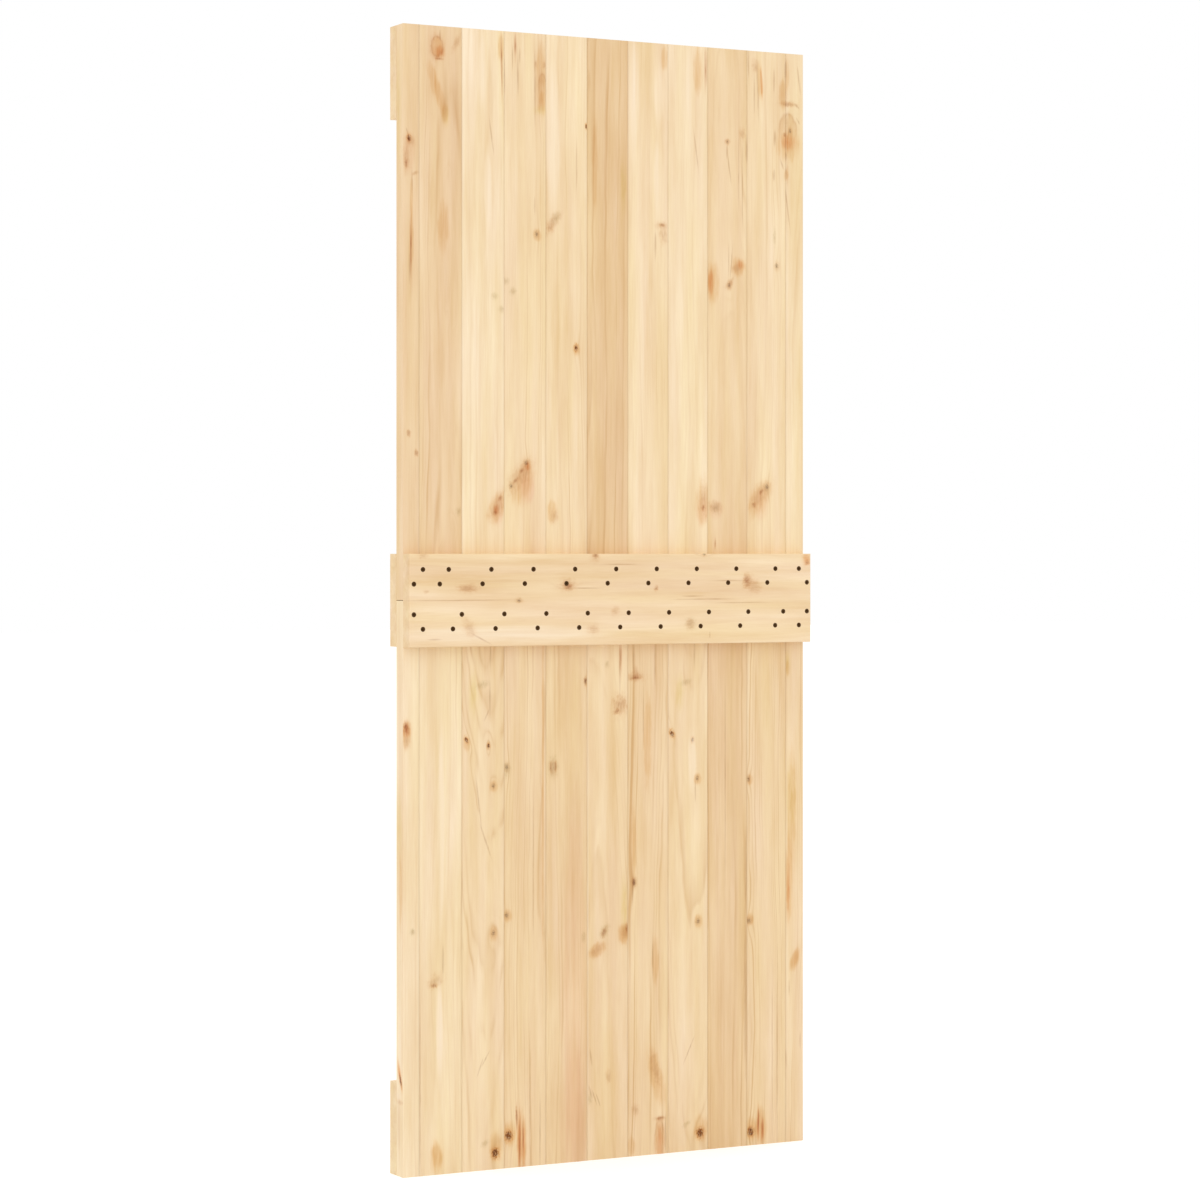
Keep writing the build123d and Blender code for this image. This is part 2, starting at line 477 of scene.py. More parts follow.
def make_mark_group(kind):
    """One kind of mark, laid over a colour. A mark that covers hides the wood, others stain it."""
    look = MARKS_BY_KIND[kind]
    tree, given, result = new_group(
        f"mark_{kind}",
        {"Color": "Color", "Place": "Vector", "Middle": "Vector", "Size": "Vector", "Tilt": "Float",
         "Seen": "Float"},
        {"Color": "Color"},
    )
    share = mark_share(tree, given)
    reach, across, along = look["ragged"]
    ragged = wander(tree, given["Place"], across, along, detail=2.0)
    ragged = vector_calc(tree, "MULTIPLY", ragged, (reach, 0.0, reach))
    edge = vector_calc(tree, "MULTIPLY_ADD", share, (1.0, 0.0, 1.0), ragged)
    distance = calc(tree, "DIVIDE", vector_calc(tree, "LENGTH", edge), MARK_REACH)

    ramp = node(tree, "ShaderNodeValToRGB", {"Fac": distance})
    stops = ramp.color_ramp.elements
    while len(stops) < len(look["ramp"]):
        stops.new(0.5)
    for stop, (place, levels, strength) in zip(stops, look["ramp"]):
        stop.position = place / MARK_REACH
        stop.color = (*(to_linear(*levels)[:3] if look.get("covers") else stain(levels)), strength)

    across, along, depth = look["brush"]
    brush = streaks(tree, given["Place"], across, along, detail=2.0)
    brush = calc(tree, "MULTIPLY_ADD", brush, 2 * depth, 1.0)
    strength = calc(tree, "MULTIPLY", ramp.outputs["Alpha"], brush, clamp=True)
    strength = calc(tree, "MULTIPLY", strength, given["Seen"])
    if look.get("fades_down"):
        upright = node(tree, "ShaderNodeSeparateXYZ", {0: share}).outputs["Z"]
        fade = calc(tree, "ADD", upright, FADE_DOWN_FROM, clamp=True)
        strength = calc(tree, "MULTIPLY", strength, fade)
    laid = ramp.outputs["Color"]
    if not look.get("covers"):
        laid = vector_calc(tree, "MULTIPLY", given["Color"], laid)
    feed(tree, result["Color"], blend_colour(tree, strength, given["Color"], laid))
    return tree


mark_groups = {kind: make_mark_group(kind) for kind in MARKS_BY_KIND}
print("nodes in the knot group:", len(mark_groups["knot"].nodes))

# %% Rings that swell round a knot
SWELLING_KINDS = ("knot", "pin_knot", "curl")
SWELL_NARROWING = (0.42, 0.0, 0.2)
SWELL_RINGS = 0.9
SWELL_LINES = 0.3


def make_lift_group():
    """The swelling of the rings round a knot, added to what other knots lift."""
    tree, given, result = new_group(
        "ring_lift",
        {"Lift": "Float", "Near": "Float", "Place": "Vector", "Middle": "Vector", "Size": "Vector",
         "Tilt": "Float", "Amount": "Float"},
        {"Lift": "Float", "Near": "Float"},
    )
    share = vector_calc(tree, "MULTIPLY", mark_share(tree, given), SWELL_NARROWING)
    squared = vector_calc(tree, "DOT_PRODUCT", share, share)
    swell = calc(tree, "EXPONENT", calc(tree, "MULTIPLY", squared, -1.0))
    feed(tree, result["Lift"], calc(tree, "MULTIPLY_ADD", swell, given["Amount"], given["Lift"]))
    feed(tree, result["Near"], calc(tree, "MULTIPLY_ADD", swell, SWELL_LINES, given["Near"]))
    return tree


lift_group = make_lift_group()
print("nodes in the swelling group:", len(lift_group.nodes))

# %% [markdown]
# ## Where the marks are
# These are the knots and stains that the real boards show, and one painted highlight along a
# seam. Scattered by chance they would be quicker, but then the leaf would be another one.
# Each row gives the kind, then millimetres: across from the middle of the board, height above
# the foot of the leaf, half width and half height, and the tilt in degrees where there is one.
# A curl only bends the rings and has no colour of its own.

# %% Marks of the upper panel
UPPER_MARKS = {
    1: [
        ("knot", -4, 1892, 3.6, 6), ("line", -7, 1902, 1.5, 8, 20), ("soft", -2, 1887, 9, 9),
        ("soft", -8, 1856, 8, 24), ("blush", -4, 1866, 13, 40), ("brown", -10, 1846, 3, 8),
        ("soft", 9, 1829, 7, 3, 25), ("line", 2, 1812, 1.4, 20), ("amber", 1, 1780, 3, 40),
        ("amber", 1, 1705, 4, 44), ("streak", 0, 1690, 1.5, 60), ("line", -3, 1655, 1.4, 26),
        ("brown", -5, 1355, 4, 6), ("brown", 11, 1319, 4, 6),
    ],
    2: [
        ("loop", -7, 2063, 13, 22), ("amber", -6, 2060, 12, 20), ("flame", -2, 2053, 9, 12),
        ("streak", -3, 2040, 8, 2), ("line", -1, 2084, 1.6, 8), ("amber", -14, 2000, 9, 34, 14),
        ("amber", 0, 1968, 8, 32, 12),
        ("amber", 9, 1940, 6, 18), ("yellow", 10, 1936, 6, 15), ("amber", 6, 1733, 11, 42),
        ("shade", 32, 1824, 12, 256), ("soft", 33, 2072, 5, 16, -25), ("grey", 37, 1212, 5, 8),
    ],
    3: [
        ("pale_band_and_highlight", -1, 2023, 8, 66), ("shade", 17, 2008, 8, 84), ("amber", 37, 2072, 6, 24),
        ("streak", 38, 2056, 2.2, 40), ("streak", 39, 2012, 1.4, 34), ("pale_band_and_highlight", 10, 1801, 7, 72),
        ("line", 17, 1906, 1.5, 30, 8), ("grey", 24, 1610, 6, 6), ("grey", 38, 1586, 6, 6),
        ("amber", 30, 1222, 15, 32, -25), ("soft", 29, 1222, 12, 26, -25),
        ("blush", 31, 1214, 13, 28), ("flame", 27, 1216, 5, 9), ("brown", 25, 1211, 4, 5),
        ("brown", 35, 1238, 3, 5, -25),
    ],
    4: [
        ("streak", -20, 2072, 2.6, 24), ("line", -26, 2054, 1.4, 20), ("line", -15, 2021, 2, 36),
        ("line", -11, 2057, 1.4, 14), ("line", -43, 2016, 1.8, 31), ("shade", 31, 2020, 12, 78),
        ("amber", 33, 2018, 10, 62), ("line", 20.5, 2000, 2, 60), ("soft", 22, 2044, 3, 6),
        ("soft", 40, 2043, 3, 7), ("arch", 36, 2000, 9, 26), ("amber", 36, 1976, 8, 18),
        ("yellow", 32, 1958, 10, 7),
        ("line", 20, 1780, 1.5, 15), ("pin_knot", 24, 1728, 4, 6), ("amber", 26, 1726, 9, 10),
        ("grey", -25, 1620, 6, 7), ("grey", -39, 1639, 6, 6), ("pin_knot", 2, 1303, 5, 6),
        ("amber", -4, 1266, 18, 40, -20), ("soft", -11, 1279, 15, 32, -40), ("blush", 2, 1262, 19, 38),
        ("blush", 6, 1256, 15, 26), ("flame", 5, 1297, 6, 9), ("brown", -20, 1270, 3, 6, -45),
        ("brown", -7, 1289, 3, 5, -40), ("pin_knot", -29, 1260, 4, 5),
    ],
    5: [
        ("pale_band_and_highlight", -28, 1901, 13, 118), ("knot", 41, 1934, 1.8, 5), ("soft", -28, 1752, 9, 22, -35),
        ("grey", -22, 1761, 7, 11, -35), ("soft", -34, 1742, 7, 7), ("line", 21, 1858, 1.3, 40),
        ("knot", 20, 1519, 3.6, 6), ("amber", 21, 1516, 8, 12), ("soft", -26, 1205, 8, 11),
        ("amber", -30, 1214, 10, 20),
    ],
    6: [("amber", -27, 1867, 5, 80), ("yellow", 35, 1826, 5, 36), ("shade", 22, 1300, 12, 220)],
    7: [
        ("pale_band_and_highlight", -30, 1997, 9, 112), ("amber", 35, 2075, 7, 22), ("pale_band_and_highlight", 23, 2000, 9, 50),
        ("pale_band_and_highlight", 22, 1838, 9, 70), ("soft", 30, 1756, 12, 6),
        ("brown", 31, 1757, 6, 2.6), ("soft", 33, 1738, 8, 15), ("line", 16, 1718, 2, 24),
    ],
    8: [
        ("pale_band_and_highlight", 2, 2025, 7, 72), ("amber", 22, 2054, 10, 44), ("streak", 39, 2060, 3.2, 42),
        ("line", 18, 1900, 1.4, 38, 8), ("amber", 33, 1232, 15, 42), ("soft", 35, 1236, 11, 30),
        ("blush", 31, 1216, 14, 26), ("brown", 33, 1222, 4, 5),
    ],
    9: [
        ("soft", 0, 1923, 6, 5), ("pin_knot", 0, 1922, 2.4, 4), ("line", -1, 1904, 1.6, 14),
        ("line", 4, 1873, 1.4, 26, 8), ("curl", 31, 1930, 9, 30), ("curl", 30, 1820, 9, 30),
        ("line", 25, 1870, 1.2, 60), ("line", 33, 1840, 1.2, 70), ("soft", 33, 1940, 6, 9),
        ("amber", 24, 1684, 15, 18), ("soft", 20, 1680, 9, 9), ("flame", 28, 1688, 7, 9, 15),
        ("amber", -32, 1651, 13, 36), ("flame", -37, 1652, 7, 26),
        ("line", 42, 1912, 2.4, 22), ("soft", 4, 1648, 7, 9, -30), ("soft", 8, 1655, 4, 9, -30),
        ("pin_knot", 4, 1648, 4, 5), ("curl", 5, 1650, 8, 16), ("line", 3, 1693, 1.2, 30),
        ("line", 9, 1693, 1.2, 30, -5), ("soft", -27, 1225, 13, 11), ("blush", -26, 1218, 16, 18),
        ("grey", -25, 1222, 9, 9), ("streak", -27, 1154, 1.5, 10),
    ],
    10: [
        ("line", -40, 2079, 1.6, 26), ("soft", -25, 2071, 7, 12), ("amber", -14, 2040, 6, 34, 3),
        ("flame", -11, 2040, 2.4, 34, 3), ("line", -27, 2016, 1.7, 35),
        ("line", -19, 2024, 2, 60, 2), ("line", -43, 1912, 1.6, 22),
        ("curl", 20, 1862, 7, 20), ("grey", 18, 1745, 3, 14), ("pin_knot", 23, 1689, 4, 6),
        ("amber", -18, 1238, 18, 34, -25), ("soft", -13, 1248, 14, 28, -40), ("blush", -12, 1228, 18, 30),
        ("pin_knot", 1, 1263, 5.5, 7), ("brown", -11, 1254, 3, 6, -45), ("brown", -28, 1228, 4, 5),
    ],
    11: [("line", -18, 1818, 1.5, 54, 8), ("soft", -17, 1868, 3, 17), ("amber", -18, 2060, 6, 30)],
}
print("marks of the upper boards:", sum(map(len, UPPER_MARKS.values())))

# %% The knot across the last seam
# One knot lies across the seam of the last two boards. Its rows are measured on board 11,
# and board 10 gets the same ones, moved by the distance between the boards' middles.
SEAM_KNOT = [
    ("curl", -11, 1950, 16, 26), ("shade", -26, 2023, 10, 30), ("amber", -26, 2021, 9, 26),
    ("soft", -15, 2002, 16, 5), ("soft", -14, 2002, 13, 4), ("line", 5, 2000, 2, 7, 50),
    ("arch", -15, 1952, 21, 32), ("amber", -15, 1924, 27, 30), ("flame", -15, 1929, 15, 15),
    ("brown", -22, 1943, 2.4, 4), ("pin_knot", -10, 1951, 3.4, 5.5), ("line", 8, 1971, 1.8, 6, 30),
    ("line", -44, 1935, 2.8, 14), ("line", -46, 2044, 1.8, 20), ("line", -46, 1864, 2.6, 10),
    ("line", -20, 2068, 2.8, 19), ("line", -19, 1902, 1.4, 8), ("line", -28, 1885, 1.8, 10, 20),
    ("amber", -19, 1865, 5, 10), ("line", 10, 2050, 1.8, 26, 8),
]
board_10, board_11 = (shoulders("upper", number) for number in (10, 11))
middles_apart = (sum(board_11) - sum(board_10)) / 2 / MM
UPPER_MARKS[11] += SEAM_KNOT
UPPER_MARKS[10] += [(kind, across + middles_apart, *rest) for kind, across, *rest in SEAM_KNOT]
print("middles of the last two boards apart, mm:", round(middles_apart, 2))

# %% Marks of the lower panel
LOWER_MARKS = {
    1: [
        ("amber", -9, 806, 8, 24), ("flame", -9, 814, 8, 14), ("brown", -9, 817, 7, 12),
        ("brown", -11, 822, 4, 7), ("soft", -9, 793, 8, 11),
        ("grey", 3, 446, 5, 6), ("grey", 3, 446, 3, 4),
    ],
    2: [
        ("pale_band_and_highlight", 1, 640, 7, 180), ("pale_band_and_highlight", -2, 262, 7, 86), ("soft", -11, 354, 14, 10, 35),
        ("brown", -13, 346, 7, 4), ("line", 5, 391, 2.4, 24), ("pale_band_and_highlight", -2, 270, 6, 70),
        ("line", -41, 168, 1.5, 140), ("amber", -8, 28, 14, 28), ("amber", -8, 34, 10, 22),
    ],
    3: [
        ("grey", -1, 894, 12, 6, 20), ("yellow", -20, 878, 7, 28), ("line", 15, 950, 1.6, 24),
        ("knot", -34, 793, 3.2, 6, 25), ("amber", -34, 786, 7, 12), ("pin_knot", 11, 781, 3, 5),
        ("knot", 11, 781, 2.4, 4.4), ("pin_knot", 21, 707, 4, 5), ("amber", 22, 706, 8, 11),
        ("pin_knot", 21, 436, 4.4, 6),
        ("amber", 22, 435, 9, 14), ("line", 5, 205, 1.4, 14, -30), ("line", -6, 190, 1.3, 16, -20),
        ("line", 14, 869, 1.8, 27), ("line", 7, 837, 1.6, 10, -25), ("line", -9, 678, 1.4, 42, 7),
        ("line", 5, 607, 1.8, 31, 20),
        ("amber", 26, 40, 13, 25), ("knot", 25, 30, 7.2, 9), ("grey", 4, 49, 8, 5, 40),
    ],
    4: [
        ("pin_knot", -38, 741, 4, 6), ("grey", -38, 736, 7, 12), ("amber", 37, 699, 2.4, 250),
        ("line", 17, 556, 1.4, 110), ("pin_knot", -38, 467, 4.5, 6), ("amber", -36, 466, 8, 12),
        ("line", 10, 107, 1.4, 100), ("line", 31, 59, 1.6, 60), ("amber", -33, 62, 13, 23),
        ("knot", -34, 60, 7.6, 9), ("amber", -6, 44, 9, 54), ("flame", -12, 48, 5, 54),
        ("flame", -3, 40, 3.4, 46), ("streak", -17, 92, 2.2, 24), ("brown", -18, 98, 2, 12),
        ("streak", -11, 44, 2.4, 54), ("streak", -4, 54, 1.6, 28),
    ],
    5: [
        ("pin_knot", 40, 897, 3, 7), ("grey", -28, 738, 9, 17), ("soft", -28, 737, 7, 14),
        ("brown", -33, 738, 1.6, 9), ("brown", -23, 739, 2, 9), ("brown", 40, 897, 3, 7),
        ("shade", 14, 520, 24, 190), ("grey", 36, 419, 4, 10), ("shade", 10, 60, 32, 200),
        ("blush", 16, 320, 26, 340), ("blush", 14, 50, 29, 180),
    ],
    6: [
        # The first row is a painted highlight: a thin near-white line down the board's left arris, at its
        # seam with board 5.
        ("pale_band_and_highlight", -42, 540, 1.6, 420), ("streak", 28, 940, 3, 34), ("line", 26, 915, 1.6, 46),
        ("grey", -1, 927, 4, 6), ("soft", 26, 850, 16, 19), ("soft", 28, 852, 12, 14),
        ("brown", 20, 839, 7, 4, 30),
        ("amber", -22, 393, 18, 12, 35), ("soft", -22, 393, 17, 9, 35),
        ("grey", -7, 427, 8, 13, -30), ("brown", -8, 425, 5, 10, -25),
        ("amber", 36, 420, 11, 18), ("soft", 38, 424, 8, 13), ("brown", 41, 432, 3, 9),
        ("amber", 32, 420, 10, 18), ("yellow", 36, 470, 6, 36), ("line", -35, 192, 1.6, 14, 8),
        ("line", -36, 128, 2, 10, 15), ("line", -28, 118, 1.5, 14, 20), ("line", -20, 112, 1.3, 12, 20),
        ("soft", 2, 155, 5, 11), ("grey", -37, 115, 4, 9),
    ],
    7: [
        ("soft", -27, 903, 17, 8), ("soft", -27, 902, 12, 5), ("brown", -27, 901, 9, 2.6),
        ("soft", -26, 913, 5, 10),
        ("line", -31, 933, 2, 26), ("line", 15, 923, 1.6, 36),
        ("amber", -1, 783, 8, 80), ("line", -10, 830, 1.2, 46), ("amber", -31, 591, 6, 68),
        ("brown", -30, 516, 4, 8), ("pin_knot", -30, 516, 4.6, 8), ("line", -33, 500, 1.5, 22),
        ("amber", 16, 368, 7, 42), ("line", 10, 372, 1.2, 36), ("amber", 18, 147, 14, 50, 13),
        ("soft", 16, 160, 8, 30, 13), ("soft", -27, 86, 7, 9), ("amber", -36, 18, 8, 16),
        ("flame", 25, 22, 9, 34), ("arch", 25, 28, 11, 42), ("soft", 26, 67, 11, 4),
        ("brown", 27, 68, 8, 2.4), ("line", 38, 38, 2.2, 30),
    ],
    8: [
        ("line", 14, 945, 1.6, 24), ("grey", -4, 891, 10, 5, 20), ("yellow", -18, 872, 8, 26),
        ("knot", -35, 794, 4.2, 7.4, 25), ("pin_knot", 10, 781, 3, 5), ("knot", 10, 781, 2.4, 4.4),
        ("pale_band_and_highlight", 9, 742, 8, 52), ("pin_knot", 20, 708, 4, 6), ("amber", 21, 706, 8, 10),
        ("line", 16, 685, 1.4, 18),
        ("pin_knot", 22, 436, 5, 6), ("amber", 23, 436, 9, 13), ("line", 2, 192, 1.4, 24, -25),
        ("amber", 28, 42, 13, 23), ("knot", 26, 33, 7.6, 9), ("grey", -3, 52, 9, 4, 35),
    ],
    9: [
        ("line", 41, 525, 2.4, 72), ("line", 40, 277, 2.6, 130), ("shade", 10, 600, 13, 240),
        ("line", -5, 700, 1.3, 180),
    ],
    10: [
        ("pin_knot", -40, 703, 3.6, 6), ("amber", -37, 702, 7, 10), ("pin_knot", -39, 431, 5, 6),
        ("amber", -36, 434, 7, 11), ("amber", -33, 32, 13, 20), ("knot", -35, 26, 7.4, 8.6),
        ("amber", -12, 34, 12, 34), ("flame", -18, 40, 3.4, 30), ("streak", -18, 44, 1.8, 26),
        ("flame", -9, 28, 4, 26), ("streak", -9, 30, 1.8, 22),
        ("line", 24, 170, 1.6, 160), ("line", 13, 193, 1.2, 138),
    ],
    11: [
        ("yellow", -17, 924, 7, 20), ("amber", -15, 914, 4, 14), ("yellow", -8, 660, 9, 60),
        ("amber", -6, 640, 9, 100), ("amber", -12, 505, 9, 80), ("flame", -14, 490, 4, 50),
        ("amber", 1, 352, 9, 24, -20), ("amber", 2, 356, 7, 18, -20), ("line", -12, 297, 1.4, 14),
        ("line", 13, 194, 1.6, 14), ("line", -19, 159, 1.6, 18),
    ],
}
print("marks of the lower boards:", sum(map(len, LOWER_MARKS.values())))

# %% Marks of the left edge
# The leaf's left edge is the side of board 1. Its rows give depth from the middle of the
# board instead of across, with the picture's side at -15.
EDGE_MARKS = {
    "lower": [
        ("yellow", 2, 640, 10, 60), ("amber", -4, 520, 7, 72), ("flame", 0, 187, 6, 28, -20),
        ("knot", -4, 176, 3, 13, -20), ("pale_band_and_highlight", 6, 146, 8, 6), ("soft", -2, 136, 12, 4),
        ("shade", 0, 70, 14, 70), ("shade", 4, 100, 12, 60),
        ("shade", 0, 525, 40, 560),
    ],
    "upper": [("yellow", 6, 1960, 8, 90)],
}
MARKS = {"upper": UPPER_MARKS, "lower": LOWER_MARKS}
print("marks of the left edge:", sum(map(len, EDGE_MARKS.values())))

# %% [markdown]
# ## Tones
# The boards come from different trunks, so each has its own tone, from cream to tan. A
# tone is one colour, and the grain group is given a darker and a paler step of it, and the
# summer wood's colour, worked out by fixed shares. Blue falls away faster than red, which is
# what makes shaded wood look warm.

# %% Tones
TONES = {
    "cream": (246, 223, 185),
    "pale": (244, 220, 180),
    "rail": (243, 216, 176),
    "straw": (242, 216, 175),
    "honey": (239, 211, 169),
    "warm": (236, 206, 164),
    "tan": (232, 200, 155),
}
BOARD_TONES = {
    "upper": "warm warm cream straw straw tan straw pale honey straw pale".split(),
    "lower": "cream pale straw honey honey honey honey straw tan honey honey".split(),
}
DARK_STEP = (0.957, 0.925, 0.872)
PALE_STEP = (1.027, 1.048, 1.085)
LATE_STEP = (0.89, 0.81, 0.70)
END_GRAIN_STEP = (0.967, 0.953, 0.925)


def tone_steps(tone):
    """A tone's darker step, paler step and summer wood."""
    steps = []
    for step in (DARK_STEP, PALE_STEP, LATE_STEP):
        steps.append(to_linear(*(min(255, level * share) for level, share in zip(TONES[tone], step))))
    return steps


print("steps of tan wood:", [[round(level, 2) for level in step[:3]] for step in tone_steps("tan")])

# %% [markdown]
# ## A pine material for one piece
# Each board gets a material of its own, with its own stretch of trunk, tone and marks. A
# Mapping node turns the piece's own coordinates into millimetres about a middle point, with
# Z along the grain. Bump comes from the same fibres as the colour, so the light catches
# what the eye sees. End grain is a little darker, as it soaks up light.

# %% Ends, seams and spots
END_SHARPNESS = 6.0
SEAM_SHADE = 0.92
SEAM_START = 0.5
SEAM_REACH = 3.2


def use_group(tree, group, inputs):
    """Add a group and feed its inputs."""
    return node(tree, "ShaderNodeGroup", inputs, node_tree=group).outputs


def facing(tree, axis):
    """1 on the surfaces that look along an axis, and 0 on the ones beside it."""
    normal = node(tree, "ShaderNodeTexCoord").outputs["Normal"]
    along = vector_calc(tree, "DOT_PRODUCT", normal, axis)
    return calc(tree, "POWER", calc(tree, "ABSOLUTE", along), END_SHARPNESS)


def seam_shade(tree, place, seams):
    """A soft dark edge where a board meets its neighbour, from the middle to each seam in mm."""
    across = node(tree, "ShaderNodeSeparateXYZ", {0: place}).outputs["X"]
    from_left = calc(tree, "ADD", across, seams[0])
    from_right = calc(tree, "SUBTRACT", seams[1], across)
    inwards = calc(tree, "MINIMUM", from_left, from_right)
    limits = {"Value": inwards, "From Min": SEAM_START, "From Max": SEAM_REACH, "To Min": SEAM_SHADE}
    return node(tree, "ShaderNodeMapRange", limits, interpolation_type="SMOOTHSTEP").outputs[0]


def mark_spots(place, marks, seen):
    """Each mark's kind and the inputs of its group."""
    spots = []
    for kind, across, along, half_width, half_height, *tilt in marks:
        middle = (across, 0, along)
        size = (half_width, 1, half_height)
        spot = {"Place": place, "Middle": middle, "Size": size, "Tilt": math.radians(sum(tilt))}
        spots.append((kind, spot, seen))
    return spots


# %% Pine material
BUMP_DEPTH = 0.25 * MM
BUMP_STRENGTH = 0.35
SHEEN = 0.3
END_GRAIN = (*(share ** 2.2 for share in END_GRAIN_STEP), 1.0)


def pine_material(name, middle, tone, cut, marks=(), edge_marks=(), seams=None, lying=False):
    """Sawn pine about a middle point: upright, or lying with its grain along X."""
    material = bpy.data.materials.new(name)
    material.use_nodes = True
    tree = material.node_tree
    tree.nodes.clear()
    source = node(tree, "ShaderNodeTexCoord").outputs["Object"]
    centred = vector_calc(tree, "SUBTRACT", source, tuple(middle))
    turn = (0, -math.pi / 2, 0) if lying else (0, 0, 0)
    mapping = {"Vector": centred, "Rotation": turn, "Scale": (1 / MM, 1 / MM, 1 / MM)}
    place = node(tree, "ShaderNodeMapping", mapping).outputs[0]

    edge_seen = facing(tree, (1, 0, 0))
    face_seen = calc(tree, "SUBTRACT", 1.0, edge_seen) if edge_marks else 1.0
    spots = mark_spots(place, marks, face_seen)
    if edge_marks:
        axes = node(tree, "ShaderNodeSeparateXYZ", {0: place}).outputs
        turned = node(tree, "ShaderNodeCombineXYZ", {0: axes["Y"], 1: axes["X"], 2: axes["Z"]}).outputs[0]
        spots += mark_spots(turned, edge_marks, edge_seen)

    swelling = {"Lift": cut.get("Lift", 0.0), "Near": 0.0}
    amount = cut["Ring"] * SWELL_RINGS
    for kind, spot, seen in spots:
        if kind in SWELLING_KINDS and seen is face_seen:
            swelling = dict(use_group(tree, lift_group, {**spot, **swelling, "Amount": amount}))

    dark, pale, late = tone_steps(tone)
    wood = {**cut, **swelling, "Place": place, "Dark": dark, "Pale": pale, "Late": late}
    grain = use_group(tree, grain_group, wood)
    colour = grain["Color"]
    for kind, spot, seen in spots:
        if kind in mark_groups:
            laid = {**spot, "Color": colour, "Seen": seen}
            colour = use_group(tree, mark_groups[kind], laid)["Color"]

    sawn = facing(tree, (1, 0, 0) if lying else (0, 0, 1))
    end_tint = blend_colour(tree, sawn, (1, 1, 1, 1), END_GRAIN)
    colour = vector_calc(tree, "MULTIPLY", colour, end_tint)
    if seams:
        shaded = {0: colour, "Scale": seam_shade(tree, place, seams)}
        colour = node(tree, "ShaderNodeVectorMath", shaded, operation="SCALE").outputs[0]
    relief = {"Height": grain["Height"], "Strength": BUMP_STRENGTH, "Distance": BUMP_DEPTH}
    bump = node(tree, "ShaderNodeBump", relief).outputs[0]
    surface = {"Base Color": colour, "Normal": bump, "Roughness": grain["Roughness"]}
    shader = node(tree, "ShaderNodeBsdfPrincipled", {**surface, "Specular IOR Level": SHEEN})
    node(tree, "ShaderNodeOutputMaterial", {"Surface": shader.outputs[0]})
    return material


def dress(name, material):
    """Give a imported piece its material."""
    piece = nodes[name]
    if not piece.material_slots:
        piece.data.materials.append(material)
    for slot in piece.material_slots:
        slot.material = material


# %% [markdown]
# ## The boards' wood
# A board sawn near the side of the trunk shows tall arches, because its pith lies behind
# its middle. One sawn nearer the pith's own plane shows straight lines. The fixed seed
# gives each board its own stretch of trunk, the same one every time.

# %% How each board was sawn
CUTS_BY_HAND = {
    ("lower", 3): dict(Pith=(14, 92, 0), Ring=5.2, Taper=-0.044, Lines=0.7, Lift=2.0),
    ("lower", 8): dict(Pith=(12, 90, 0), Ring=5.2, Taper=-0.044, Lines=0.7, Lift=2.0),
    ("lower", 6): dict(Pith=(-30, 60, 0), Ring=5.0, Taper=0.03, Lines=0.5),
    ("upper", 2): dict(Pith=(20, 60, 0), Ring=5.0, Taper=0.012, Lines=0.5),
    ("upper", 9): dict(Pith=(6, 70, 0), Ring=5.0, Taper=0.03, Lines=0.6),
}
LINE_STRENGTHS = {
    ("upper", 2): 1.5, ("upper", 3): 0.55, ("upper", 6): 1.25, ("upper", 7): 0.45,
    ("upper", 10): 0.6, ("upper", 11): 0.45, ("lower", 1): 0.6, ("lower", 2): 0.55,
    ("lower", 4): 1.4, ("lower", 7): 1.4, ("lower", 9): 1.9, ("lower", 10): 2.0, ("lower", 11): 1.4,
}
picker = random.Random(7)


def board_cut(panel, number):
    """Pith, ring width, taper, strength of lines and seed of one board."""
    side = picker.choice((-1, 1))
    cut = dict(
        Pith=(side * picker.uniform(45, 90), picker.uniform(30, 70), 0),
        Ring=picker.uniform(4.0, 6.5),
        Taper=side * picker.uniform(0.002, 0.008),
        Lines=picker.uniform(0.5, 0.9),
        Seed=tuple(picker.uniform(0, 900) for _ in range(3)),
    )
    cut.update(CUTS_BY_HAND.get((panel, number), {}))
    cut["Lines"] *= LINE_STRENGTHS.get((panel, number), 1.0)
    return cut


print("boards sawn by hand:", list(CUTS_BY_HAND))

# %% Dress the boards
OPEN_SIDE = 1000.0


def dress_board(panel, number):
    """The material of one board."""
    left, right = shoulders(panel, number)
    middle = Vector(((left + right) / 2, boards_middle, leaf_foot))
    half = (right - left) / 2 / MM
    seams = (OPEN_SIDE if number == BOARDS[0] else half, OPEN_SIDE if number == BOARDS[-1] else half)
    name = f"{panel}_board_{number}"
    tone = BOARD_TONES[panel][number - 1]
    marks = MARKS[panel].get(number, ())
    edge_marks = EDGE_MARKS[panel] if number == BOARDS[0] else ()
    cut = board_cut(panel, number)
    dress(name, pine_material(f"pine_{name}", middle, tone, cut, marks, edge_marks, seams))
    return tone


for panel in PANELS:
    print(panel, [dress_board(panel, number) for number in BOARDS])

# %% [markdown]
# ## The rails' wood
# The back rail's marks are given as the picture shows them: millimetres along from the
# leaf's middle and up from the rail's middle, then half length and half height. Its knots
# are old and pale, with soft brown edges, so they are stains without a dark ring.

